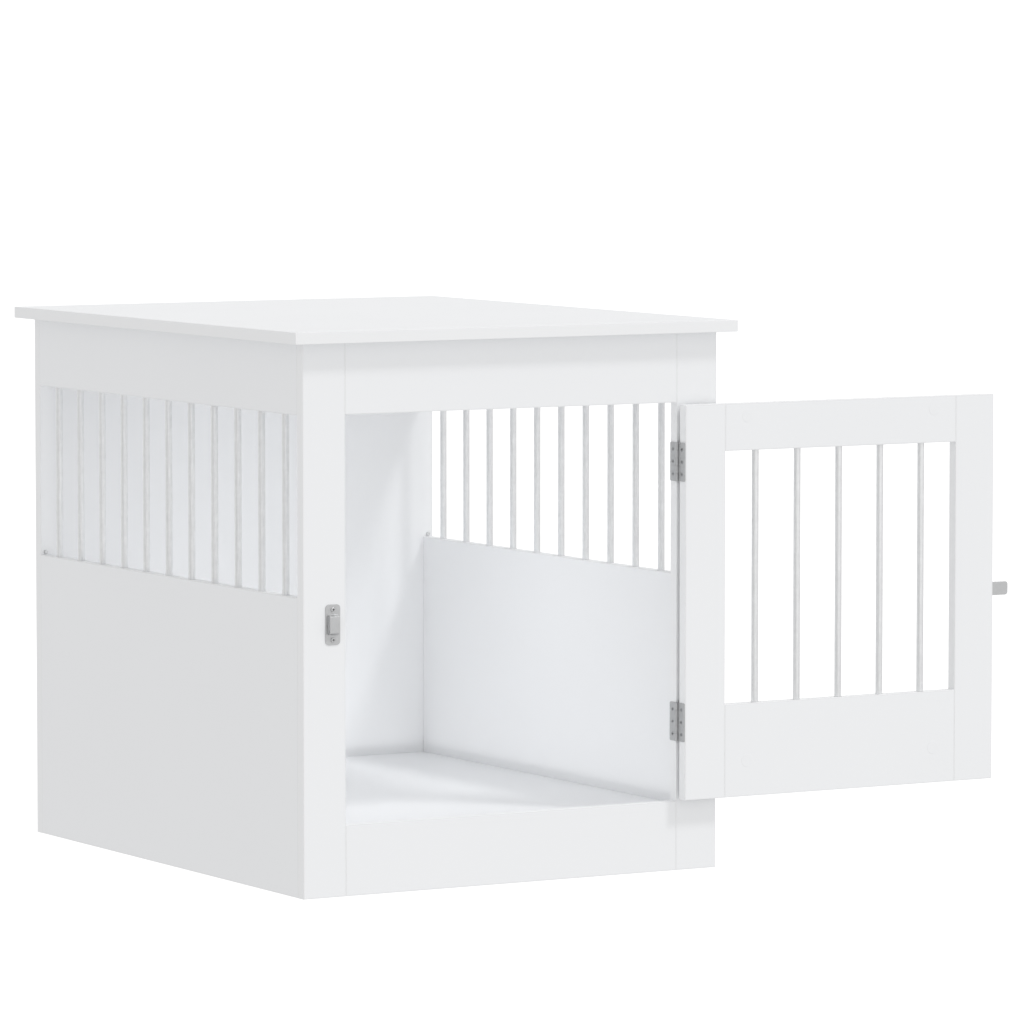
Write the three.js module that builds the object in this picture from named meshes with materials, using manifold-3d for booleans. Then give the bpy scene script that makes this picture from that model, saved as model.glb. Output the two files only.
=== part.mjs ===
// Dog crate end table: a white laminated-board cabinet with metal bars along both sides,
// and one barred door that is hung on two butt hinges and held shut by a slide bolt.
// Millimetres, +X to the right, +Y to the back, +Z up. The origin is on the floor, under the
// middle of the front frame. The door is built shut and shown swung open by doorRestAngle.

import * as THREE from "three";
import { mergeVertices } from "three/addons/utils/BufferGeometryUtils.js";
import Module from "manifold-3d";

const wasm = await Module();
wasm.setup();

// ---------------------------------------------------------------------------------------
// Driving dimensions
// ---------------------------------------------------------------------------------------

// Cabinet
const cabinetWidth = 605; // outer faces of the two sides
const cabinetDepth = 760; // front of the front frame to the back of the rear panel
const cabinetHeight = 695; // floor to the underside of the top board
const boardThickness = 15;
const easedEdge = 0.5; // chamfer round both broad faces of every board
const topOverhang = 20; // the top board stands out by this much all round
const frontStileWidth = 60;
const frontTopRailHeight = 90;
const frontBottomRailHeight = 90;
const sideRailHeight = 90;
const sidePanelHeight = 377;
const floorPanelTop = 76; // height of the crate's floor

// Bars
const barDiameter = 9;
const barSocketDepth = 10;
const sideBarCount = 11;
const sideBarFromEnd = 44; // middle of the first and last bar to the frame or panel beside it
const doorBarCount = 5;
const doorBarFromStile = 50.1;

// Retaining pins in the rear panel, just over the side panels
const retainerDiameter = 5;
const retainerDepth = 8; // length inside the rear panel
const retainerReach = 2.5; // length that stands out of it
const retainerLift = 1; // clear height between the side panel and the pin

// Door
const doorSideGap = 4; // at the hinge edge and at the free edge
const doorEndGap = 2.5; // above and below
const doorStileWidth = 60;
const doorTopRailHeight = 61;
const doorBottomRailHeight = 121;
const doorRestAngle = 180; // degrees open at rest

// Butt hinges
const hingeHeight = 50;
const knuckleCount = 5;
const knuckleRadius = 2.2;
const hingePinRadius = 0.9;
const hingePinFromJamb = 1.1; // the pin stands a little inside the doorway
const hingePinFromFront = 2.3; // and this far before the faces of the frame and the shut door
const leafThickness = 1.2;
const leafSetback = 1; // between the leaf's edge and the rear face of the board that it lies on
const leafCornerRadius = 2;
const hingeScrewPitch = 16;
const hingeScrewCount = 3;
const hingeScrewHeadRadius = 2.8;
const hingeScrewRadius = 1.6;
const upperHingeFromDoorTop = 73.5; // to the middle of the hinge
const lowerHingeFromDoorBottom = 100.5;

// Slide bolt and its keeper
const latchCentreHeight = 343; // above the floor
const sheetThickness = 1; // pressed steel of the keeper and of the bolt's back plate
const latchPlateHeight = 51;
const latchPlateCornerRadius = 5;
const latchPlateFromEdge = 1; // between the door's free edge and the back plate
const latchPlateMargin = 0.8; // between a guide and the end of the back plate
const guideWidth = 5.5;
const bridgeFlare = 2.2; // how much wider the pressed bridge is at its foot
const bridgeBendRadius = 1.2;
const keeperWidth = 21;
const keeperBridgeWidth = 13.5;
const keeperFromJamb = 18.4; // to the middle of the keeper
const boltHeight = 18;
const boltThickness = 2;
const boltCornerRadius = 4;
const boltReach = 35.5; // the thrown bolt stands out of the door's edge by this much
const boltRetraction = 0.5; // the drawn bolt ends this far inside the door's edge
const boltTail = 1.5; // beyond the second guide when thrown
const boltSlack = 0.3; // over and under the bolt's broad faces in the guides
const boltSideSlack = 0.8; // beside the bolt's edges
const keeperSlack = 2.1; // over the thrown bolt's outer face in the keeper
const knobRadius = 6;
const knobHeadHeight = 5;
const knobStemRadius = 3;

// Screws of the keeper and of the slide bolt
const screwRadius = 1.5;
const screwLength = 11; // below the head
const screwHeadRadius = 3.1;
const screwHeadHeight = 1.8;
const screwFromPlateEnd = 6.5; // from the upper or lower edge of the plate
const screwFromPlateSide = 7;

// Clearances and facets
const seatGap = 0.3; // round a bar, pin or screw in its hole
const runningGap = 0.3; // between pieces that turn or slide past each other
const cutOvershoot = 0.5; // a cutting tool stands out of the face that it enters
const barSides = 20;
const screwSides = 14;
const arcSteps = 5;
const weldDistance = 1e-4;

// ---------------------------------------------------------------------------------------
// Derived sizes and places
// ---------------------------------------------------------------------------------------

const frontY = -boardThickness / 2;
const frameBackY = frontY + boardThickness;
const rearY = frontY + cabinetDepth;
const rearPanelFrontY = rearY - boardThickness;
const sideCentreX = (cabinetWidth - boardThickness) / 2;
const sideLength = rearPanelFrontY - frameBackY;
const sideCentreY = (frameBackY + rearPanelFrontY) / 2;
const sideOpeningHeight = cabinetHeight - sideRailHeight - sidePanelHeight;
const insideWidth = cabinetWidth - 2 * boardThickness;
const doorwayWidth = cabinetWidth - 2 * frontStileWidth;
const doorwayHeight = cabinetHeight - frontTopRailHeight - frontBottomRailHeight;

const doorWidth = doorwayWidth - 2 * doorSideGap;
const doorHeight = doorwayHeight - 2 * doorEndGap;
const doorBottomZ = frontBottomRailHeight + doorEndGap;
const windowWidth = doorWidth - 2 * doorStileWidth;
const windowHeight = doorHeight - doorTopRailHeight - doorBottomRailHeight;

const hingePinFromDoor = doorSideGap - hingePinFromJamb;
const hingePinX = doorwayWidth / 2 - hingePinFromJamb;
const hingePinY = frontY - hingePinFromFront;
const hingeHeights = {
  upper: doorHeight - upperHingeFromDoorTop,
  lower: lowerHingeFromDoorBottom,
}; // above the door's lower edge
const leafEndY = hingePinFromFront + boardThickness - leafSetback;
const knuckleHeight = hingeHeight / knuckleCount;

const boltBackY = sheetThickness + boltSlack; // out from the door's face
const guideInsideDepth = boltBackY + boltThickness + boltSlack;
const keeperInsideDepth = boltBackY + boltThickness + keeperSlack;
const bridgeInsideHalf = boltHeight / 2 + boltSideSlack;
const boltTravel = boltReach + boltRetraction;
const guideSpacing = boltTravel + 2 * knobStemRadius + 2 * runningGap; // clear length between guides
const latchPlateLength = guideSpacing + 2 * guideWidth + 2 * latchPlateMargin;
const latchZ = latchCentreHeight - doorBottomZ; // above the door's lower edge
const screwZ = latchPlateHeight / 2 - screwFromPlateEnd;
const keeperX = -doorwayWidth / 2 - keeperFromJamb;

// ---------------------------------------------------------------------------------------
// Materials
// ---------------------------------------------------------------------------------------

function laminate() {
  return new THREE.MeshStandardMaterial({ color: 0xecedee, roughness: 0.55, metalness: 0 });
}

function barMetal() {
  return new THREE.MeshStandardMaterial({ color: 0xd2d4d6, roughness: 0.4, metalness: 0.6 });
}

function fittingSteel() {
  return new THREE.MeshStandardMaterial({ color: 0xbcbec0, roughness: 0.35, metalness: 0.9 });
}

// ---------------------------------------------------------------------------------------
// Joining and cutting
// ---------------------------------------------------------------------------------------

// A closed geometry as a solid that can be joined and cut.
function toSolid(geometry) {
  const bare = geometry.clone();
  bare.deleteAttribute("normal");
  bare.deleteAttribute("uv");
  const merged = mergeVertices(bare, weldDistance);
  return new wasm.Manifold(
    new wasm.Mesh({
      numProp: 3,
      vertProperties: merged.attributes.position.array,
      triVerts: new Uint32Array(merged.index.array),
    }),
  );
}

function toGeometry(solid) {
  const mesh = solid.getMesh();
  const geometry = new THREE.BufferGeometry();
  geometry.setAttribute("position", new THREE.BufferAttribute(mesh.vertProperties, 3));
  geometry.setIndex(new THREE.BufferAttribute(mesh.triVerts, 1));
  geometry.computeVertexNormals();
  return geometry;
}

function join(geometries) {
  return toGeometry(geometries.map(toSolid).reduce((whole, solid) => whole.add(solid)));
}

function cut(geometry, tools) {
  const whole = toSolid(geometry);
  return toGeometry(tools.map(toSolid).reduce((rest, tool) => rest.subtract(tool), whole));
}

function common(first, second) {
  return toGeometry(toSolid(first).intersect(toSolid(second)));
}

// ---------------------------------------------------------------------------------------
// Shapes that several pieces share
// ---------------------------------------------------------------------------------------

const axisX = new THREE.Vector3(1, 0, 0);
const axisY = new THREE.Vector3(0, 1, 0);
const axisZ = new THREE.Vector3(0, 0, 1);

// How a flat outline and its thickness are turned: lying down, facing the front, or facing a side.
const lying = new THREE.Matrix4();
const facingFront = new THREE.Matrix4().makeBasis(axisX, axisZ, axisY.clone().negate());
const facingSide = new THREE.Matrix4().makeBasis(axisY, axisZ, axisX);

// A flat piece of even thickness, centred on its own origin, with a chamfer round both faces.
function flatPiece(outline, thickness, facing, chamfer = 0) {
  const geometry = new THREE.ExtrudeGeometry(outline, {
    depth: thickness - 2 * chamfer,
    curveSegments: arcSteps,
    bevelEnabled: chamfer > 0,
    bevelThickness: chamfer,
    bevelSize: chamfer,
    bevelOffset: -chamfer,
    bevelSegments: 1,
  });
  geometry.translate(0, 0, chamfer - thickness / 2);
  return geometry.applyMatrix4(facing);
}

function rectangle(width, height) {
  return new THREE.Shape([
    new THREE.Vector2(-width / 2, -height / 2),
    new THREE.Vector2(width / 2, -height / 2),
    new THREE.Vector2(width / 2, height / 2),
    new THREE.Vector2(-width / 2, height / 2),
  ]);
}

function roundedRectangle(width, height, radius) {
  const x = width / 2 - radius;
  const y = height / 2 - radius;
  const shape = new THREE.Shape();
  shape.absarc(x, y, radius, 0, Math.PI / 2);
  shape.absarc(-x, y, radius, Math.PI / 2, Math.PI);
  shape.absarc(-x, -y, radius, Math.PI, 1.5 * Math.PI);
  shape.absarc(x, -y, radius, 1.5 * Math.PI, 2 * Math.PI);
  shape.closePath();
  return shape;
}

function board(width, height, facing) {
  return flatPiece(rectangle(width, height), boardThickness, facing, easedEdge);
}

// A round rod or hole along Z, centred on its own origin.
function upright(radius, length, sides = barSides) {
  return new THREE.CylinderGeometry(radius, radius, length, sides).rotateX(Math.PI / 2);
}

// The same along Y.
function crosswise(radius, length, sides = screwSides) {
  return new THREE.CylinderGeometry(radius, radius, length, sides);
}

function mesh(name, geometry, material, x, y, z) {
  const made = new THREE.Mesh(geometry, material);
  made.name = name;
  made.position.set(x, y, z);
  return made;
}

// ---------------------------------------------------------------------------------------
// Bars and the boards that hold them
// ---------------------------------------------------------------------------------------

// Places of a row of bars, evenly spaced along a span and centred on it. The first and the last
// bar stand at fromEnd from the ends of the span.
function barPlaces(span, count, fromEnd) {
  const pitch = (span - 2 * fromEnd) / (count - 1);
  return Array.from({ length: count }, (_, i) => (i - (count - 1) / 2) * pitch);
}

// Blind holes in the edge of a board at height edgeZ. Each place is an [x, y] pair.
function sockets(places, edgeZ) {
  const radius = barDiameter / 2 + seatGap;
  return places.map(([x, y]) => upright(radius, 2 * barSocketDepth).translate(x, y, edgeZ));
}

function barGeometry(clearHeight) {
  const hidden = barSocketDepth - seatGap; // at each end
  return upright(barDiameter / 2, clearHeight + 2 * hidden);
}

// ---------------------------------------------------------------------------------------
// Cabinet
// ---------------------------------------------------------------------------------------

function topBoard() {
  const width = cabinetWidth + 2 * topOverhang;
  const depth = cabinetDepth + 2 * topOverhang;
  const geometry = board(width, depth, lying);
  return mesh("top_board", geometry, laminate(), 0, (frontY + rearY) / 2, cabinetHeight + boardThickness / 2);
}

function floorPanel() {
  const geometry = board(insideWidth, sideLength, lying);
  return mesh("floor_panel", geometry, laminate(), 0, sideCentreY, floorPanelTop - boardThickness / 2);
}

// The rear panel covers the ends of both sides and holds the two retaining pins.
function rearPanel() {
  const holeLength = 2 * (retainerDepth + seatGap);
  const holes = [-sideCentreX, sideCentreX].map((x) =>
    crosswise(retainerDiameter / 2 + seatGap, holeLength).translate(
      x,
      -boardThickness / 2,
      retainerZ() - cabinetHeight / 2,
    ),
  );
  const geometry = cut(board(cabinetWidth, cabinetHeight, facingFront), holes);
  return mesh("rear_panel", geometry, laminate(), 0, rearY - boardThickness / 2, cabinetHeight / 2);
}

function retainerZ() {
  return sidePanelHeight + retainerLift + retainerDiameter / 2;
}

function retainers() {
  const length = retainerDepth + retainerReach;
  const y = rearPanelFrontY - retainerReach + length / 2;
  return [
    ["left_retaining_pin", -sideCentreX],
    ["right_retaining_pin", sideCentreX],
  ].map(([name, x]) =>
    mesh(name, crosswise(retainerDiameter / 2, length), fittingSteel(), x, y, retainerZ()),
  );
}

// One side: a solid panel below, a rail above, and a row of bars let into both.
function side(prefix, centreX) {
  const places = barPlaces(sideLength, sideBarCount, sideBarFromEnd).map((y) => [0, y]);
  const panel = cut(
    board(sideLength, sidePanelHeight, facingSide),
    sockets(places, sidePanelHeight / 2),
  );
  const rail = cut(
    board(sideLength, sideRailHeight, facingSide),
    sockets(places, -sideRailHeight / 2),
  );
  const railZ = cabinetHeight - sideRailHeight / 2;
  const barZ = sidePanelHeight + sideOpeningHeight / 2;
  const bars = places.map(([, y], i) => {
    const name = `${prefix}_bar_${String(i + 1).padStart(2, "0")}`;
    return mesh(name, barGeometry(sideOpeningHeight), barMetal(), centreX, sideCentreY + y, barZ);
  });
  return [
    mesh(`${prefix}_lower_panel`, panel, laminate(), centreX, sideCentreY, sidePanelHeight / 2),
    mesh(`${prefix}_upper_rail`, rail, laminate(), centreX, sideCentreY, railZ),
    ...bars,
  ];
}

// The front frame: two full-height stiles with a rail between them above and below the doorway.
function frontFrame() {
  const stileX = (cabinetWidth - frontStileWidth) / 2;
  const plainStile = board(frontStileWidth, cabinetHeight, facingFront);
  const keeperHoles = [-screwZ, screwZ].map((z) =>
    pilotHole(keeperX + stileX, -boardThickness / 2, latchCentreHeight + z - cabinetHeight / 2),
  );
  const topRailZ = cabinetHeight - frontTopRailHeight / 2;
  const topRail = board(doorwayWidth, frontTopRailHeight, facingFront);
  const bottomRail = board(doorwayWidth, frontBottomRailHeight, facingFront);
  return [
    mesh("front_left_stile", cut(plainStile, keeperHoles), laminate(), -stileX, 0, cabinetHeight / 2),
    mesh("front_right_stile", plainStile, laminate(), stileX, 0, cabinetHeight / 2),
    mesh("front_top_rail", topRail, laminate(), 0, 0, topRailZ),
    mesh("front_bottom_rail", bottomRail, laminate(), 0, 0, frontBottomRailHeight / 2),
  ];
}

// ---------------------------------------------------------------------------------------
// Screws
// ---------------------------------------------------------------------------------------

// A hole for a screw that enters a board from the front, at a point of the board's front face.
function pilotHole(x, faceY, z) {
  const depth = screwLength - sheetThickness + seatGap;
  return crosswise(screwRadius + seatGap, 2 * depth).translate(x, faceY, z);
}

// A pan-head wood screw: its head looks to the front and its seat is at the origin.
function screwGeometry() {
  const outline = new THREE.Path();
  outline.moveTo(0, -screwLength);
  outline.lineTo(screwRadius, -screwLength + 2 * screwRadius);
  outline.lineTo(screwRadius, 0);
  outline.lineTo(screwHeadRadius, 0);
  outline.lineTo(screwHeadRadius, screwHeadHeight / 3);
  outline.quadraticCurveTo(0.8 * screwHeadRadius, screwHeadHeight, 0, screwHeadHeight);
  return new THREE.LatheGeometry(outline.getPoints(arcSteps), screwSides).rotateX(Math.PI);
}

// ---------------------------------------------------------------------------------------
// Butt hinges
// ---------------------------------------------------------------------------------------
// Drawn shut, with the pin axis at the origin, the jamb at +X and the door's edge at -X.

// The outline of a leaf, from the pin axis to its rear edge, with the two free corners rounded.
function leafOutline() {
  const half = hingeHeight / 2;
  const end = leafEndY - leafCornerRadius;
  const shape = new THREE.Shape();
  shape.moveTo(0, -half);
  shape.lineTo(end, -half);
  shape.absarc(end, -half + leafCornerRadius, leafCornerRadius, -Math.PI / 2, 0);
  shape.absarc(end, half - leafCornerRadius, leafCornerRadius, 0, Math.PI / 2);
  shape.lineTo(0, half);
  shape.closePath();
  return shape;
}

// A cone through the leaf, wide where the head of the screw lies and narrow at the wood.
function countersink(leafX, woodSide, z) {
  const slope = (hingeScrewHeadRadius - hingeScrewRadius) / leafThickness;
  const wide = hingeScrewHeadRadius + slope * cutOvershoot;
  const narrow = hingeScrewRadius - slope * cutOvershoot;
  const length = leafThickness + 2 * cutOvershoot;
  const y = (knuckleRadius + leafEndY) / 2;
  return new THREE.CylinderGeometry(narrow, wide, length, screwSides)
    .rotateZ((-woodSide * Math.PI) / 2)
    .translate(leafX, y, z);
}

// A leaf with its share of the knuckles: every second one, starting with firstKnuckle.
// leafX is the middle of its thickness and woodSide says on which side the board lies.
function leafGeometry(leafX, woodSide, firstKnuckle) {
  const plate = flatPiece(leafOutline(), leafThickness, facingSide).translate(leafX, 0, 0);
  const barrel = upright(knuckleRadius, hingeHeight);
  const knuckleZ = (i) => (i + 0.5) * knuckleHeight - hingeHeight / 2;
  const others = [];
  for (let i = 1 - firstKnuckle; i < knuckleCount; i += 2) {
    const gap = upright(knuckleRadius + runningGap, knuckleHeight + runningGap);
    others.push(gap.translate(0, 0, knuckleZ(i)));
  }
  const bore = upright(hingePinRadius + runningGap, hingeHeight + 2 * cutOvershoot);
  const screwHoles = [];
  for (let i = 0; i < hingeScrewCount; i++) {
    const z = (i - (hingeScrewCount - 1) / 2) * hingeScrewPitch;
    screwHoles.push(countersink(leafX, woodSide, z));
  }
  return cut(join([plate, barrel]), [...others, bore, ...screwHoles]);
}

// The leaf on the jamb and the pin belong to the cabinet.
function hingeFixedParts(position) {
  const z = doorBottomZ + hingeHeights[position];
  const leaf = leafGeometry(hingePinFromJamb - leafThickness / 2, 1, 0);
  const pin = upright(hingePinRadius, hingeHeight, screwSides);
  return [
    mesh(`${position}_hinge_jamb_leaf`, leaf, fittingSteel(), hingePinX, hingePinY, z),
    mesh(`${position}_hinge_pin`, pin, fittingSteel(), hingePinX, hingePinY, z),
  ];
}

// The other leaf belongs to the door, whose own frame has the pin axis as its origin.
function hingeDoorLeaf(position) {
  const leaf = leafGeometry(leafThickness / 2 - hingePinFromDoor, -1, 1);
  return mesh(`${position}_hinge_door_leaf`, leaf, fittingSteel(), 0, 0, hingeHeights[position]);
}

// ---------------------------------------------------------------------------------------
// Door
// ---------------------------------------------------------------------------------------
// In the door's frame the pin axis is at X 0, Y 0 and the door's lower edge is at Z 0.

const doorCentreX = -hingePinFromDoor - doorWidth / 2;
const doorCentreY = hingePinFromFront + boardThickness / 2;
const doorFreeEdgeX = -hingePinFromDoor - doorWidth;

function doorFrame() {
  const stileOffset = (doorWidth - doorStileWidth) / 2;
  const plainStile = board(doorStileWidth, doorHeight, facingFront);
  const latchStileX = doorCentreX - stileOffset;
  const latchHoles = latchScrewPlaces().map(([x, z]) =>
    pilotHole(doorFreeEdgeX + x - latchStileX, -boardThickness / 2, latchZ + z - doorHeight / 2),
  );
  const latchStile = cut(plainStile, latchHoles);
  const places = barPlaces(windowWidth, doorBarCount, doorBarFromStile).map((x) => [x, 0]);
  const topRail = cut(
    board(windowWidth, doorTopRailHeight, facingFront),
    sockets(places, -doorTopRailHeight / 2),
  );
  const bottomRail = cut(
    board(windowWidth, doorBottomRailHeight, facingFront),
    sockets(places, doorBottomRailHeight / 2),
  );
  const topRailZ = doorHeight - doorTopRailHeight / 2;
  const barZ = doorBottomRailHeight + windowHeight / 2;
  // Bars are counted from the hinge edge.
  const bars = places.reverse().map(([x], i) => {
    const geometry = barGeometry(windowHeight);
    return mesh(`door_bar_${i + 1}`, geometry, barMetal(), doorCentreX + x, doorCentreY, barZ);
  });
  const hingeStileX = doorCentreX + stileOffset;
  return [
    mesh("door_hinge_stile", plainStile, laminate(), hingeStileX, doorCentreY, doorHeight / 2),
    mesh("door_latch_stile", latchStile, laminate(), latchStileX, doorCentreY, doorHeight / 2),
    mesh("door_top_rail", topRail, laminate(), doorCentreX, doorCentreY, topRailZ),
    mesh("door_bottom_rail", bottomRail, laminate(), doorCentreX, doorCentreY, doorBottomRailHeight / 2),
    ...bars,
  ];
}

// ---------------------------------------------------------------------------------------
// Slide bolt and keeper
// ---------------------------------------------------------------------------------------
// Drawn on a face that looks to the front, at Y 0: the pieces stand out towards -Y.

// The section of a pressed sheet: two flat feet with a raised bridge between them.
// Its x axis runs up the door and its y axis stands out of the face. The bridge is depth high inside.
function bridgeSection(depth) {
  const foot = latchPlateHeight / 2;
  const t = sheetThickness;
  const insideTop = bridgeInsideHalf;
  const insideFoot = bridgeInsideHalf + bridgeFlare;
  const bend = bridgeBendRadius;
  const shape = new THREE.Shape();
  shape.moveTo(-foot, 0);
  shape.lineTo(-insideFoot, 0);
  shape.lineTo(-insideTop, depth);
  shape.lineTo(insideTop, depth);
  shape.lineTo(insideFoot, 0);
  shape.lineTo(foot, 0);
  shape.lineTo(foot, t);
  shape.lineTo(insideFoot + t, t);
  shape.lineTo(insideTop + t, depth + t - bend);
  shape.quadraticCurveTo(insideTop + t, depth + t, insideTop + t - bend, depth + t);
  shape.lineTo(-insideTop - t + bend, depth + t);
  shape.quadraticCurveTo(-insideTop - t, depth + t, -insideTop - t, depth + t - bend);
  shape.lineTo(-insideFoot - t, t);
  shape.lineTo(-foot, t);
  shape.closePath();
  return shape;
}

// The section above, drawn out along X: the section's x axis becomes Z and its y axis -Y.
function pressedBridge(width, depth) {
  const turn = new THREE.Matrix4().makeBasis(axisZ, axisY.clone().negate(), axisX);
  return flatPiece(bridgeSection(depth), width, turn);
}

// A flat sheet of the latch plate's height, with its back on the face.
function flatSheet(length) {
  const outline = rectangle(length, latchPlateHeight);
  return flatPiece(outline, sheetThickness, facingFront).translate(0, -sheetThickness / 2, 0);
}

// Trims a pressed sheet to its rounded outline, seen from the front.
function trimmed(geometry, length) {
  const outline = roundedRectangle(length, latchPlateHeight, latchPlateCornerRadius);
  const room = 2 * (keeperInsideDepth + sheetThickness + cutOvershoot);
  return common(geometry, flatPiece(outline, room, facingFront));
}

function screwHolesAt(places) {
  const length = 2 * (sheetThickness + cutOvershoot);
  return places.map(([x, z]) => crosswise(screwRadius + seatGap, length).translate(x, 0, z));
}

// The keeper's bridge is pressed out of the middle of its plate, which is left open under it.
function keeper() {
  const screwPlaces = [
    [0, -screwZ],
    [0, screwZ],
  ];
  const bridge = pressedBridge(keeperBridgeWidth, keeperInsideDepth);
  const openHeight = 2 * (bridgeInsideHalf + bridgeFlare);
  const opening = flatPiece(
    rectangle(keeperBridgeWidth, openHeight),
    2 * (sheetThickness + cutOvershoot),
    facingFront,
  );
  const pressed = join([cut(flatSheet(keeperWidth), [opening]), bridge]);
  const plate = cut(trimmed(pressed, keeperWidth), screwHolesAt(screwPlaces));
  const names = ["keeper_lower_screw", "keeper_upper_screw"];
  const screws = screwPlaces.map(([x, z], i) => {
    const y = frontY - sheetThickness;
    return mesh(names[i], screwGeometry(), fittingSteel(), keeperX + x, y, latchCentreHeight + z);
  });
  return [
    mesh("keeper_plate", plate, fittingSteel(), keeperX, frontY, latchCentreHeight),
    ...screws,
  ];
}

// Screw places of the back plate, from the door's free edge and the latch's centre height.
function latchScrewPlaces() {
  const near = latchPlateFromEdge + screwFromPlateSide;
  const far = latchPlateFromEdge + latchPlateLength - screwFromPlateSide;
  return [
    [near, -screwZ],
    [near, screwZ],
    [far, -screwZ],
    [far, screwZ],
  ];
}

// The back plate of the slide bolt, with a guide bridge near each end.
function latchPlate() {
  const centre = latchPlateFromEdge + latchPlateLength / 2;
  const guideX = (guideSpacing + guideWidth) / 2;
  const guides = [-guideX, guideX].map((x) =>
    pressedBridge(guideWidth, guideInsideDepth).translate(x, 0, 0),
  );
  const holes = screwHolesAt(latchScrewPlaces().map(([x, z]) => [x - centre, z]));
  const pressed = join([flatSheet(latchPlateLength), ...guides]);
  const plate = cut(trimmed(pressed, latchPlateLength), holes);
  const x = doorFreeEdgeX + centre;
  return mesh("latch_back_plate", plate, fittingSteel(), x, hingePinFromFront, latchZ);
}

function latchScrews() {
  return latchScrewPlaces().map(([x, z], i) => {
    const y = hingePinFromFront - sheetThickness;
    return mesh(`latch_screw_${i + 1}`, screwGeometry(), fittingSteel(), doorFreeEdgeX + x, y, latchZ + z);
  });
}

// The flat bar that slides through both guides, thrown out past the door's edge.
function latchBolt() {
  const tailX = latchPlateFromEdge + latchPlateLength - latchPlateMargin + boltTail;
  const outline = roundedRectangle(boltReach + tailX, boltHeight, boltCornerRadius);
  const geometry = flatPiece(outline, boltThickness, facingFront, easedEdge);
  const x = doorFreeEdgeX + (tailX - boltReach) / 2;
  const y = hingePinFromFront - boltBackY - boltThickness / 2;
  return mesh("latch_bolt", geometry, fittingSteel(), x, y, latchZ);
}

// The knob is riveted to the bolt. Its stem stops against a guide at each end of the travel.
function latchKnob() {
  const stem = guideInsideDepth + sheetThickness + runningGap - boltBackY - boltThickness;
  const round = knobHeadHeight / 2;
  const outline = new THREE.Path();
  outline.moveTo(0, 0);
  outline.lineTo(knobStemRadius, 0);
  outline.lineTo(knobStemRadius, stem);
  outline.lineTo(knobRadius - round, stem);
  outline.absarc(knobRadius - round, stem + round, round, -Math.PI / 2, Math.PI / 2);
  outline.lineTo(0, stem + knobHeadHeight);
  const geometry = new THREE.LatheGeometry(outline.getPoints(arcSteps), barSides).rotateX(Math.PI);
  const guideEnd = latchPlateFromEdge + latchPlateMargin + guideWidth;
  const x = doorFreeEdgeX + guideEnd + runningGap + knobStemRadius;
  const y = hingePinFromFront - boltBackY - boltThickness;
  return mesh("latch_knob", geometry, fittingSteel(), x, y, latchZ);
}

// ---------------------------------------------------------------------------------------
// Assembly
// ---------------------------------------------------------------------------------------

const cabinet = new THREE.Group();
cabinet.add(topBoard(), floorPanel(), rearPanel(), ...retainers(), ...frontFrame());
cabinet.add(...side("left", -sideCentreX), ...side("right", sideCentreX));
cabinet.add(...hingeFixedParts("upper"), ...hingeFixedParts("lower"), ...keeper());

const slide = new THREE.Group(); // moves along the door's X by boltTravel
slide.add(latchBolt(), latchKnob());

const door = new THREE.Group();
door.add(...doorFrame(), hingeDoorLeaf("upper"), hingeDoorLeaf("lower"));
door.add(latchPlate(), ...latchScrews(), slide);
door.position.set(hingePinX, hingePinY, doorBottomZ);
door.rotation.z = THREE.MathUtils.degToRad(doorRestAngle);

const crateTable = new THREE.Group();
crateTable.add(cabinet, door);

export default crateTable;
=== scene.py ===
# The looks of a dog crate end table: white laminated boards, satin bars, two butt hinges and a
# slide bolt. Metres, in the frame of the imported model: +X to the right, +Y to the back, +Z up.

import math

import bmesh
import bpy
from mathutils import Matrix, Vector


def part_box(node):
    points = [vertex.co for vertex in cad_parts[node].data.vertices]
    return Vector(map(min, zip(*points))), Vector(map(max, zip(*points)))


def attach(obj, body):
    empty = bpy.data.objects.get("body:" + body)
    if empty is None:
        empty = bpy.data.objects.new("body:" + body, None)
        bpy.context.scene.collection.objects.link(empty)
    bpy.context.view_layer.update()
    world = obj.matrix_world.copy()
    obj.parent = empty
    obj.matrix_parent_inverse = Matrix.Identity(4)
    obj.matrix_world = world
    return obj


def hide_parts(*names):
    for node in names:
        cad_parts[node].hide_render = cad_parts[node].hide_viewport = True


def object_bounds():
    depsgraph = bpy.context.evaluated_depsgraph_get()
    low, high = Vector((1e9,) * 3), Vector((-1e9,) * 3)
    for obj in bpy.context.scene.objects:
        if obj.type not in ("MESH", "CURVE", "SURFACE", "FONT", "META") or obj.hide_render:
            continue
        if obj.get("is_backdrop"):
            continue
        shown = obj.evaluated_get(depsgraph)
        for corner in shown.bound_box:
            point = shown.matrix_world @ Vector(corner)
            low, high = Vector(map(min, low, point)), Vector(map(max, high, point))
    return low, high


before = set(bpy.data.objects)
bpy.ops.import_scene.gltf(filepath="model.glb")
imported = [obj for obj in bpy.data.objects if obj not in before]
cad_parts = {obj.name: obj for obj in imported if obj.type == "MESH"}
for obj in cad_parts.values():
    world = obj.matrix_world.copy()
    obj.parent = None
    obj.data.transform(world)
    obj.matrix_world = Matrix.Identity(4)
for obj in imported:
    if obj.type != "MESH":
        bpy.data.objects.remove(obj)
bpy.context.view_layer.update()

# ---------------------------------------------------------------------------------------
# Camera and studio
# ---------------------------------------------------------------------------------------
# A long lens stands to the front left, a little above the table top. One broad lamp shines from
# the upper right in front, a wide faint one from straight in front, and white walls all round
# fill the shadows. A lamp's direction is the way its light travels.

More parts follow.
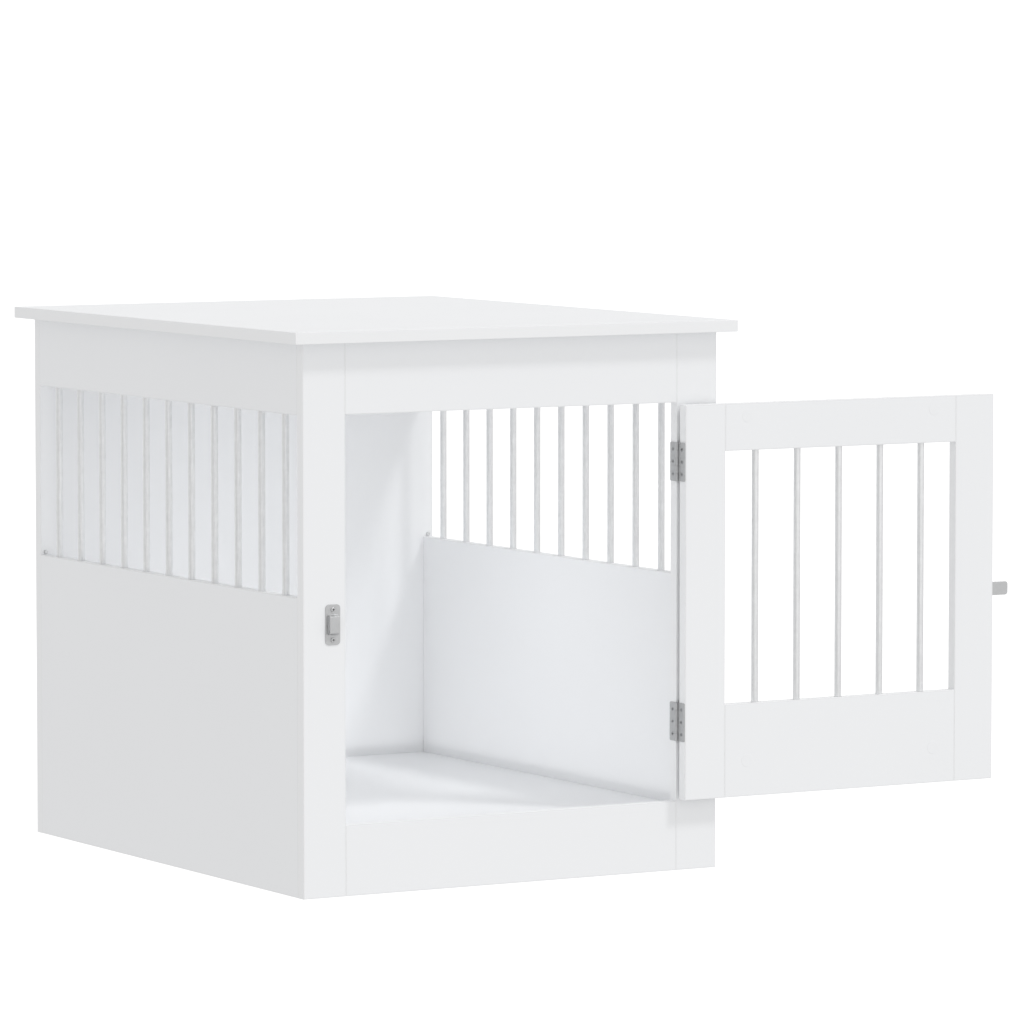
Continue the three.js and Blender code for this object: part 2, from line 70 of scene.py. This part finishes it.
camera_place = (-4.0284, -6.945, 1.1097)
camera_heading = math.radians(30.13)  # from +Y towards +X
camera_tilt = math.radians(4.533)  # downwards
sensor_width = 36  # mm
focal_length = 223.4  # mm
farthest_seen = 100
lens = bpy.data.cameras.new("camera")
lens.sensor_width = sensor_width
lens.lens = focal_length
lens.clip_end = farthest_seen
camera = bpy.data.objects.new("camera", lens)
camera.location = camera_place
camera.rotation_euler = (math.pi / 2 - camera_tilt, 0, -camera_heading)
bpy.context.scene.collection.objects.link(camera)
bpy.context.scene.camera = camera
bpy.context.scene.view_settings.view_transform = "Standard"

for name, strength, breadth, direction in (
    ("lamp", 0.77, math.radians(9), (-0.8, 1.0, -1.86)),
    ("front_fill", 0.17, math.radians(70), (0.05, 1.0, -0.15)),
):
    sun = bpy.data.lights.new(name, "SUN")
    sun.energy = strength
    sun.angle = breadth
    sun_object = bpy.data.objects.new(name, sun)
    sun_object.rotation_euler = Vector(direction).to_track_quat("-Z", "Y").to_euler()
    bpy.context.scene.collection.objects.link(sun_object)

wall_strength = 0.784
walls = bpy.data.worlds.new("white_walls")
walls.use_nodes = True
wall_light = walls.node_tree.nodes["Background"]
wall_light.inputs["Color"].default_value = (1, 1, 1, 1)
wall_light.inputs["Strength"].default_value = wall_strength
bpy.context.scene.world = walls

# Two soft lamps in the cabin, which the boards would otherwise leave dim: a ball of light in its
# middle, and a sheet of light that lies just over its floor and shines up.
cabin_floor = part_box("floor_panel")[1].z
cabin_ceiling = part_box("top_board")[0].z
cabin_middle_y = 0.37
sheet_above_floor = 0.009
cabin_lamp = bpy.data.lights.new("cabin_lamp", "POINT")
cabin_lamp.energy = 0.54
cabin_lamp.shadow_soft_size = 0.15
floor_lamp = bpy.data.lights.new("floor_lamp", "AREA")
floor_lamp.energy = 0.45
floor_lamp.shape = "RECTANGLE"
floor_lamp.size = 0.56
floor_lamp.size_y = 0.72
for name, light, height in (
    ("cabin_lamp", cabin_lamp, (cabin_floor + cabin_ceiling) / 2),
    ("floor_lamp", floor_lamp, cabin_floor + sheet_above_floor),
):
    light_object = bpy.data.objects.new(name, light)
    light_object.location = (0, cabin_middle_y, height)
    light_object.rotation_euler = (math.pi, 0, 0)
    light_object.visible_camera = False
    light_object.visible_glossy = False
    bpy.context.scene.collection.objects.link(light_object)


def glowing_card(name, paint, strength):
    """A flat paint of one grey that also gives off an even white light."""
    material = bpy.data.materials.new(name)
    material.use_nodes = True
    shader = material.node_tree.nodes["Principled BSDF"]
    shader.inputs["Base Color"].default_value = (paint, paint, paint, 1)
    shader.inputs["Roughness"].default_value = 1
    shader.inputs["Emission Color"].default_value = (1, 1, 1, 1)
    shader.inputs["Emission Strength"].default_value = strength
    return material


# The paper sweep: a round white floor that curves up into a wall. It is only there to be seen
# behind the table, so it neither lights nor shades it.
sweep_radius = 24
sweep_height = 30
sweep_bend = 4
on_floor = 1e-6
bm = bmesh.new()
bmesh.ops.create_cone(
    bm, cap_ends=True, segments=96, radius1=sweep_radius, radius2=sweep_radius, depth=sweep_height
)
bmesh.ops.translate(bm, verts=bm.verts, vec=(0, 0, sweep_height / 2))
floor_rim = [edge for edge in bm.edges if max(v.co.z for v in edge.verts) < on_floor]
bmesh.ops.bevel(
    bm, geom=floor_rim, offset=sweep_bend, segments=8, profile=0.5, affect="EDGES", material=-1
)
bmesh.ops.reverse_faces(bm, faces=bm.faces)
sweep_mesh = bpy.data.meshes.new("paper_sweep")
bm.to_mesh(sweep_mesh)
bm.free()
sweep = bpy.data.objects.new("paper_sweep", sweep_mesh)
sweep.visible_diffuse = False
sweep.visible_glossy = False
sweep.visible_shadow = False
bpy.context.scene.collection.objects.link(sweep)
sweep_mesh.materials.append(glowing_card("white_paper", 0.3, 0.85))
sweep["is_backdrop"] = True

# A tall grey card far to the left, which only the gloss of the metal shows: a soft dark line
# down each bar.
card_distance = 5
card_width = 4.6
card_height = 9
card_facing = Vector((0.99, 0.14, 0))
bm = bmesh.new()
bmesh.ops.create_grid(bm, x_segments=1, y_segments=1, size=0.5)
bmesh.ops.scale(bm, verts=bm.verts, vec=(card_width, card_height, 1))
card_turn = card_facing.to_track_quat("Z", "Y").to_matrix().to_4x4()
card_place = card_turn @ Matrix.Translation((0, 0, -card_distance))
bmesh.ops.transform(bm, verts=bm.verts, matrix=card_place)
card_mesh = bpy.data.meshes.new("grey_card")
bm.to_mesh(card_mesh)
bm.free()
card = bpy.data.objects.new("grey_card", card_mesh)
card.visible_camera = False
card.visible_diffuse = False
card.visible_shadow = False
bpy.context.scene.collection.objects.link(card)
card_mesh.materials.append(glowing_card("grey_card", 0, 0.6))
card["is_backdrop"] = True

# ---------------------------------------------------------------------------------------
# Cabinet boards
# ---------------------------------------------------------------------------------------
# Particle board with a matt white laminate pressed on both faces and a thin band glued round the
# narrow edges. Hidden dowels and cams hold the boards together.


class Tone:
    """A socket in a material's node tree. Sums and products of tones add Math nodes."""

    def __init__(self, tree, socket=None):
        self.tree = tree
        self.socket = socket

    def node(self, kind, settings, sockets, output=0):
        """Adds a node: its settings come first, then the values or links of its sockets."""
        made = self.tree.nodes.new(kind)
        for name, value in settings.items():
            setattr(made, name, value)
        for name, value in sockets.items():
            if isinstance(value, Tone):
                self.tree.links.new(value.socket, made.inputs[name])
            else:
                made.inputs[name].default_value = value
        return Tone(self.tree, made.outputs[output])

    def math(self, operation, *values):
        """One Math node on the values, each a tone or a number."""
        return self.node("ShaderNodeMath", {"operation": operation}, dict(enumerate(values)))

    def __add__(self, other):
        return self.math("ADD", self, other)

    def __sub__(self, other):
        return self.math("SUBTRACT", self, other)

    def __rsub__(self, other):
        return self.math("SUBTRACT", other, self)

    def __mul__(self, other):
        return self.math("MULTIPLY", self, other)

    def __truediv__(self, other):
        return self.math("DIVIDE", self, other)

    def clamped(self):
        """The tone held between 0 and 1."""
        return self.math("MINIMUM", self.math("MAXIMUM", self, 0), 1)

    __radd__ = __add__
    __rmul__ = __mul__


def new_material(name):
    """A material with one shader, the tone that its nodes are made from, and the place of each
    point of the surface."""
    material = bpy.data.materials.new(name)
    material.use_nodes = True
    tone = Tone(material.node_tree)
    return material, tone, tone.node("ShaderNodeTexCoord", {}, {}, output="Object")


def set_finish(material, sockets):
    """Sets or links the sockets of the material's shader."""
    shader = material.node_tree.nodes["Principled BSDF"]
    for name, value in sockets.items():
        if isinstance(value, Tone):
            material.node_tree.links.new(value.socket, shader.inputs[name])
        else:
            shader.inputs[name].default_value = value


def blend_colours(tone, mask, first, second):
    """The first colour where the mask is 0 and the second where it is 1."""
    settings = {"data_type": "RGBA"}
    return tone.node("ShaderNodeMix", settings, {0: mask, 6: first, 7: second}, output=2)


def noise(tone, place, scale, detail=2.0, roughness=0.5):
    """Smooth random values from 0 to 1, about 1 / scale metres across."""
    sockets = {"Vector": place, "Scale": scale, "Detail": detail, "Roughness": roughness}
    return tone.node("ShaderNodeTexNoise", {}, sockets)


def relief(tone, height, depth):
    """A fine relief of the surface: depth is in metres, for a height that runs from 0 to 1."""
    sockets = {"Height": height, "Distance": depth, "Strength": 1.0}
    return tone.node("ShaderNodeBump", {}, sockets)


def laminated_board(node):
    """Gives a board's node its own white laminate, with a glue line just inside its edges."""
    face_white = (0.895, 0.903, 0.915, 1)
    shaded_white = (0.88, 0.888, 0.9, 1)
    band_white = (0.885, 0.89, 0.898, 1)
    glue_line = (0.62, 0.615, 0.61, 1)
    glue_from_edge = 0.0009
    glue_spread = 0.0008
    glue_strength = 0.2
    band_width = 0.00055
    relief_depth = 0.00004
    material, tone, place = new_material(f"white_laminate_{node}")
    low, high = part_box(node)
    size = high - low
    thin = min(range(3), key=lambda axis: size[axis])
    from_edge = None
    for axis in range(3):
        if axis == thin:
            continue
        along = tone.node("ShaderNodeSeparateXYZ", {}, {0: place}, output=axis)
        inside = tone.math("MINIMUM", along - low[axis], high[axis] - along)
        from_edge = inside if from_edge is None else tone.math("MINIMUM", from_edge, inside)
    band = tone.math("LESS_THAN", from_edge, band_width)
    glue = (1 - tone.math("ABSOLUTE", from_edge - glue_from_edge) / glue_spread).clamped()
    cloud = noise(tone, place, 5, detail=3)
    grain = noise(tone, place, 1100, detail=1)
    pearl = noise(tone, place, 320, detail=3)
    smear = noise(tone, place, 28, detail=4)
    face = blend_colours(tone, cloud, face_white, shaded_white)
    edged = blend_colours(tone, band, face, band_white)
    colour = blend_colours(tone, glue * glue_strength, edged, glue_line)
    height = pearl * 0.7 + grain * 0.3
    set_finish(
        material,
        {
            "Base Color": colour,
            "Roughness": 0.46 + smear * 0.1 - band * 0.06 + pearl * 0.04,
            "Normal": relief(tone, height, relief_depth),
            "IOR": 1.5,
        },
    )
    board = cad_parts[node]
    board.data.materials.clear()
    board.data.materials.append(material)


# The front frame: two stiles from the floor to the top, and a rail above and below the doorway.
for node in ("front_left_stile", "front_right_stile", "front_top_rail", "front_bottom_rail"):
    laminated_board(node)

# The sides: a solid panel below and a rail above, with the bars let into both.
for node in ("left_lower_panel", "left_upper_rail", "right_lower_panel", "right_upper_rail"):
    laminated_board(node)

# The rear panel, the crate's floor, and the table top, which lies on all the others.
for node in ("rear_panel", "floor_panel", "top_board"):
    laminated_board(node)

# ---------------------------------------------------------------------------------------
# Bars of the sides and of the door
# ---------------------------------------------------------------------------------------
# Round metal rods with a satin silver coat. Each is pushed into blind holes in the boards above
# and below it, and its ends are slightly rounded to start it in the hole.

dark_silver = (0.79, 0.795, 0.80, 1)
bright_silver = (0.93, 0.935, 0.94, 1)
dull_silver = (0.72, 0.725, 0.73, 1)
ridge_depth = 0.00006
drawn_out = (1, 1, 0.05)
bar_metal, tone, place = new_material("satin_silver_bar")
drawn = tone.node("ShaderNodeMapping", {}, {"Vector": place, "Scale": drawn_out})
streak = noise(tone, drawn, 900, detail=3, roughness=0.6)
patch = noise(tone, place, 130, detail=3, roughness=0.6)
speck = noise(tone, place, 1500, detail=1)
line = (streak * 2.4 - 0.7).clamped()
silver = blend_colours(tone, line, dark_silver, bright_silver)
mottled = blend_colours(tone, (patch * 2 - 0.7).clamped() * 0.45, silver, dull_silver)
ridges = streak * 0.7 + speck * 0.3
set_finish(
    bar_metal,
    {
        "Base Color": mottled,
        "Metallic": 0.75,
        "Roughness": 0.24 + patch * 0.16 + speck * 0.05,
        "Normal": relief(tone, ridges, ridge_depth),
    },
)


def add_piece(name, bm, body, material, nodes=()):
    """Makes the mesh a piece that rides on a body and stands for the nodes named."""
    mesh = bpy.data.meshes.new(name)
    bm.to_mesh(mesh)
    bm.free()
    mesh.materials.append(material)
    piece = bpy.data.objects.new(name, mesh)
    bpy.context.scene.collection.objects.link(piece)
    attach(piece, body)
    if nodes:
        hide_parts(*nodes)
    return piece


def round_rod(radius, length, end_round, segments=40):
    """A rod along Z, its middle at the origin, with rounded ends and a smooth side."""
    bm = bmesh.new()
    bmesh.ops.create_cone(
        bm, cap_ends=True, segments=segments, radius1=radius, radius2=radius, depth=length
    )
    same_height = 1e-9
    ends = [
        edge
        for edge in bm.edges
        if abs(edge.verts[0].co.z - edge.verts[1].co.z) < same_height
    ]
    bmesh.ops.bevel(
        bm, geom=ends, offset=end_round, segments=3, profile=0.5, affect="EDGES", material=-1
    )
    for face in bm.faces:
        face.smooth = len(face.verts) == 4
    return bm


bar_end_round = 0.0006
for node in sorted(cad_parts):
    if "_bar_" not in node:
        continue
    low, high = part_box(node)
    bm = round_rod((high.y - low.y) / 2, high.z - low.z, bar_end_round)
    bmesh.ops.translate(bm, verts=bm.verts, vec=(low + high) / 2)
    body = "door" if node.startswith("door") else "cabinet"
    add_piece(node.replace("_bar_", "_rod_"), bm, body, bar_metal, [node])

# ---------------------------------------------------------------------------------------
# Retaining pins
# ---------------------------------------------------------------------------------------
# Two short steel pins in the rear panel, which keep the side panels from lifting. They are
# pressed into their holes, and their ends are rounded.


def fitting_steel(name, base, brush, roughness=0.3, metallic=1.0):
    """Satin plated steel: brush is the scale of its fine lines on each axis, long where small."""
    line_depth = 0.00002
    dark_share = 0.84
    light_share = 1.1
    dull_share = 0.78
    material, tone, place = new_material(name)
    drawn = tone.node("ShaderNodeMapping", {}, {"Vector": place, "Scale": brush})
    hair = noise(tone, drawn, 2600, detail=3, roughness=0.6)
    bloom = noise(tone, place, 160, detail=4, roughness=0.6)
    dark = tuple(dark_share * level for level in base) + (1,)
    light = tuple(light_share * level for level in base) + (1,)
    dull = tuple(dull_share * level for level in base) + (1,)
    brushed = blend_colours(tone, hair, dark, light)
    plated = blend_colours(tone, bloom * 0.45, brushed, dull)
    set_finish(
        material,
        {
            "Base Color": plated,
            "Metallic": metallic,
            "Roughness": roughness + bloom * 0.16 + hair * 0.06,
            "Normal": relief(tone, hair, line_depth),
        },
    )
    return material


pin_end_round = 0.0008
pin_steel = fitting_steel("pin_steel", (0.82, 0.825, 0.83), (1, 0.1, 1), roughness=0.4)
for side in ("left", "right"):
    node = f"{side}_retaining_pin"
    low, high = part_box(node)
    bm = round_rod((high.z - low.z) / 2, high.y - low.y, pin_end_round, segments=32)
    bmesh.ops.rotate(bm, verts=bm.verts, matrix=Matrix.Rotation(math.pi / 2, 3, "X"))
    bmesh.ops.translate(bm, verts=bm.verts, vec=(low + high) / 2)
    add_piece(f"{side}_panel_pin", bm, "cabinet", pin_steel, [node])

# ---------------------------------------------------------------------------------------
# Door boards
# ---------------------------------------------------------------------------------------
# The same laminated board as the cabinet: two stiles, and a rail above and below the bars.
# The inner faces of the rails have round plastic covers over the cams that hold the joints.

for node in ("door_hinge_stile", "door_latch_stile", "door_top_rail", "door_bottom_rail"):
    laminated_board(node)

cover_radius = 0.0085
cover_height = 0.0002
cover_round = 0.00015
cover_from_stile = 0.034
cover_from_door_end = {"door_top_rail": 0.0165, "door_bottom_rail": 0.0465}

cover_white = (0.893, 0.901, 0.913, 1)
cover_shade = (0.873, 0.881, 0.893, 1)
cover_relief = 0.00002
cover_plastic, tone, place = new_material("white_cover_plastic")
haze = noise(tone, place, 240, detail=3)
fine = noise(tone, place, 1400, detail=1)
set_finish(
    cover_plastic,
    {
        "Base Color": blend_colours(tone, haze, cover_white, cover_shade),
        "Roughness": 0.34 + haze * 0.1,
        "Normal": relief(tone, fine, cover_relief),
    },
)

for rail, from_end in cover_from_door_end.items():
    low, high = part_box(rail)
    cover_z = high.z - from_end if rail == "door_top_rail" else low.z + from_end
    cover_places = {"hinge": low.x + cover_from_stile, "latch": high.x - cover_from_stile}
    for stile, cover_x in cover_places.items():
        bm = bmesh.new()
        bmesh.ops.create_cone(
            bm,
            cap_ends=True,
            segments=48,
            radius1=cover_radius,
            radius2=cover_radius,
            depth=cover_height,
        )
        rim = [edge for edge in bm.edges if min(v.co.z for v in edge.verts) > 0]
        bmesh.ops.bevel(
            bm, geom=rim, offset=cover_round, segments=3, profile=0.5, affect="EDGES", material=-1
        )
        for face in bm.faces:
            face.smooth = len(face.verts) == 4
        bmesh.ops.rotate(bm, verts=bm.verts, matrix=Matrix.Rotation(math.pi / 2, 3, "X"))
        spot = Vector((cover_x, low.y - cover_height / 2, cover_z))
        bmesh.ops.translate(bm, verts=bm.verts, vec=spot)
        add_piece(f"{rail}_{stile}_cover", bm, "door", cover_plastic)

# ---------------------------------------------------------------------------------------
# Butt hinges
# ---------------------------------------------------------------------------------------
# Two steel hinges, each of two pressed leaves that are rolled round one pin in five knuckles.
# Three countersunk screws hold each leaf, on the jamb and on the door's edge.


def shade_smooth(bm, crease):
    """Shades the mesh smooth, and leaves the edges sharp that turn by the crease or more."""
    for face in bm.faces:
        face.smooth = True
    for edge in bm.edges:
        edge.smooth = edge.calc_face_angle(0) < crease


def dressed_copy(node, name, body, material, round_over):
    """A node's own shape with its edges rounded over and its curved faces smooth."""
    same_point = 1e-6
    flat_below = math.radians(0.5)
    crease = math.radians(35)
    bm = bmesh.new()
    bm.from_mesh(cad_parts[node].data)
    bmesh.ops.remove_doubles(bm, verts=bm.verts, dist=same_point)
    bmesh.ops.dissolve_limit(
        bm, angle_limit=flat_below, verts=bm.verts, edges=bm.edges, delimit=set()
    )
    shade_smooth(bm, crease)
    piece = add_piece(name, bm, body, material, [node])
    rounding = piece.modifiers.new("rounded_edges", "BEVEL")
    rounding.width = round_over
    rounding.segments = 2
    rounding.limit_method = "ANGLE"
    rounding.angle_limit = crease
    rounding.use_clamp_overlap = True


hinge_steel = fitting_steel("hinge_steel", (0.57, 0.575, 0.58), (1, 1, 0.08), 0.42, metallic=0.6)
hinge_pin_steel = fitting_steel("hinge_pin_steel", (0.70, 0.705, 0.71), (1, 1, 0.2))
# The hinge screws' steel is painted darker than the other screws' steel: painted shade for the
# shadow in their countersunk seats.
hinge_screw_steel = fitting_steel("hinge_screw_steel", (0.49, 0.495, 0.5), (1, 1, 1), 0.4)
screw_steel = fitting_steel("screw_steel", (0.66, 0.665, 0.67), (1, 1, 1), roughness=0.26)


def cross_screw(rings, facing, seat, recess_half, recess_arm, recess_depth):
    """A screw whose head has a cross recess. Its rings, a radius and a height each, run from the
    rim of the flat round the recess down to the tip. The head looks to facing from the seat."""
    recess_taper = 0.55
    crease = math.radians(32)
    bm = bmesh.new()
    top = rings[0][1]
    bmesh.ops.create_grid(bm, x_segments=3, y_segments=3, size=recess_half)
    for vert in bm.verts:
        for axis in (0, 1):
            if abs(vert.co[axis]) < recess_half / 2:
                vert.co[axis] = math.copysign(recess_arm / 2, vert.co[axis])
    corners = [
        face
        for face in bm.faces
        if min(abs(face.calc_center_median()[axis]) for axis in (0, 1)) > recess_arm / 2
    ]
    bmesh.ops.delete(bm, geom=corners, context="FACES")
    cross = list(bm.faces)
    mouth = [edge for edge in bm.edges if edge.is_boundary]
    sunk = bmesh.ops.extrude_face_region(bm, geom=cross)["geom"]
    bmesh.ops.delete(bm, geom=[f for f in cross if f.is_valid], context="FACES_ONLY")
    bottom = [item for item in sunk if isinstance(item, bmesh.types.BMVert)]
    bmesh.ops.scale(bm, verts=bottom, vec=(recess_taper, recess_taper, 1))
    bmesh.ops.translate(bm, verts=bottom, vec=(0, 0, -recess_depth))
    rim = set(bmesh.ops.create_circle(bm, segments=32, radius=rings[0][0])["verts"])
    loop = [edge for edge in bm.edges if rim.issuperset(edge.verts)]
    bmesh.ops.bridge_loops(bm, edges=[edge for edge in mouth if edge.is_valid] + loop)
    for (radius, height), (next_radius, next_height) in zip(rings, rings[1:]):
        grown = bmesh.ops.extrude_edge_only(bm, edges=loop)["geom"]
        verts = [item for item in grown if isinstance(item, bmesh.types.BMVert)]
        loop = [item for item in grown if isinstance(item, bmesh.types.BMEdge)]
        loop = [edge for edge in loop if all(vert in verts for vert in edge.verts)]
        ratio = next_radius / radius
        bmesh.ops.scale(bm, verts=verts, vec=(ratio, ratio, 1))
        bmesh.ops.translate(bm, verts=verts, vec=(0, 0, next_height - height))
    bmesh.ops.edgeloop_fill(bm, edges=loop)
    bmesh.ops.recalc_face_normals(bm, faces=bm.faces)
    shade_smooth(bm, crease)
    turn = Vector(facing).to_track_quat("Z", "Y").to_matrix().to_4x4()
    screw_place = Matrix.Translation(seat) @ turn @ Matrix.Translation((0, 0, top))
    bmesh.ops.transform(bm, verts=bm.verts, matrix=screw_place)
    return bm


leaf_round = 0.00018
hinge_pin_round = 0.0004
hinge_screw_pitch = 0.016
hinge_recess = {"recess_half": 0.0014, "recess_arm": 0.0005, "recess_depth": 0.0004}
hinge_screw_rings = ((0.0022, -0.0001), (0.00265, -0.00018), (0.0016, -0.00118))
knuckle_radius = 0.0022
leaf_thickness = 0.0012
pin_from_jamb = 0.0011

for place in ("upper", "lower"):
    pin_node = f"{place}_hinge_pin"
    low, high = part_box(pin_node)
    bm = round_rod((high.y - low.y) / 2, high.z - low.z, hinge_pin_round, segments=32)
    bmesh.ops.translate(bm, verts=bm.verts, vec=(low + high) / 2)
    add_piece(f"{place}_hinge_pintle", bm, "cabinet", hinge_pin_steel, [pin_node])
    pin_x = (low.x + high.x) / 2
    for leaf, body in (("jamb", "cabinet"), ("door", "door")):
        node = f"{place}_hinge_{leaf}_leaf"
        dressed_copy(node, f"{place}_{leaf}_leaf", body, hinge_steel, leaf_round)
        low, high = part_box(node)
        flat_length = high.y - low.y - 2 * knuckle_radius
        screw_y = high.y - flat_length / 2 if leaf == "jamb" else low.y + flat_length / 2
        wood_x = pin_x + pin_from_jamb if leaf == "jamb" else high.x
        for step in (-1, 0, 1):
            screw_z = (low.z + high.z) / 2 + step * hinge_screw_pitch
            seat = (wood_x - leaf_thickness, screw_y, screw_z)
            bm = cross_screw(hinge_screw_rings, (-1, 0, 0), seat, **hinge_recess)
            name = f"{place}_{leaf}_leaf_screw_{step + 2}"
            add_piece(name, bm, body, hinge_screw_steel)

# ---------------------------------------------------------------------------------------
# Keeper
# ---------------------------------------------------------------------------------------
# A steel plate with a raised bridge pressed out of its middle, which takes the end of the bolt.
# Two pan-head screws hold it on the left stile.

plate_round = 0.0002
plate_steel = fitting_steel("plate_steel", (0.66, 0.665, 0.67), (1, 1, 0.08), roughness=0.46)
pan_rings = (
    (0.0022, 0.0018),
    (0.0027, 0.0015),
    (0.003, 0.0011),
    (0.0031, 0.0006),
    (0.0031, 0),
    (0.0015, 0),
    (0.0015, -0.008),
    (0.0002, -0.011),
)
pan_recess = {"recess_half": 0.0015, "recess_arm": 0.0006, "recess_depth": 0.0006}


def pan_screw(node, name, body, facing):
    """A pan-head screw that stands for a screw's node; facing is the way its head looks on Y."""
    low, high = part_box(node)
    head_height = pan_rings[0][1]
    seat_y = low.y + head_height if facing < 0 else high.y - head_height
    seat = ((low.x + high.x) / 2, seat_y, (low.z + high.z) / 2)
    bm = cross_screw(pan_rings, (0, facing, 0), seat, **pan_recess)
    add_piece(name, bm, body, screw_steel, [node])


dressed_copy("keeper_plate", "keeper", "cabinet", plate_steel, plate_round)
pan_screw("keeper_lower_screw", "keeper_screw_low", "cabinet", -1)
pan_screw("keeper_upper_screw", "keeper_screw_high", "cabinet", -1)

# ---------------------------------------------------------------------------------------
# Slide bolt
# ---------------------------------------------------------------------------------------
# A flat steel bar that slides along the door's outer face through two guides, which are pressed
# out of one back plate. Four pan-head screws hold the plate, and the knob is riveted to the bar.

bolt_round = 0.0002
knob_round = 0.0001
bolt_steel = fitting_steel("bolt_steel", (0.66, 0.665, 0.67), (0.08, 1, 1))
dressed_copy("latch_back_plate", "bolt_plate", "door", plate_steel, plate_round)
dressed_copy("latch_bolt", "flat_bolt", "bolt", bolt_steel, bolt_round)
dressed_copy("latch_knob", "bolt_knob", "bolt", bolt_steel, knob_round)
for number in range(1, 5):
    pan_screw(f"latch_screw_{number}", f"bolt_plate_screw_{number}", "door", 1)

low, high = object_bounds()
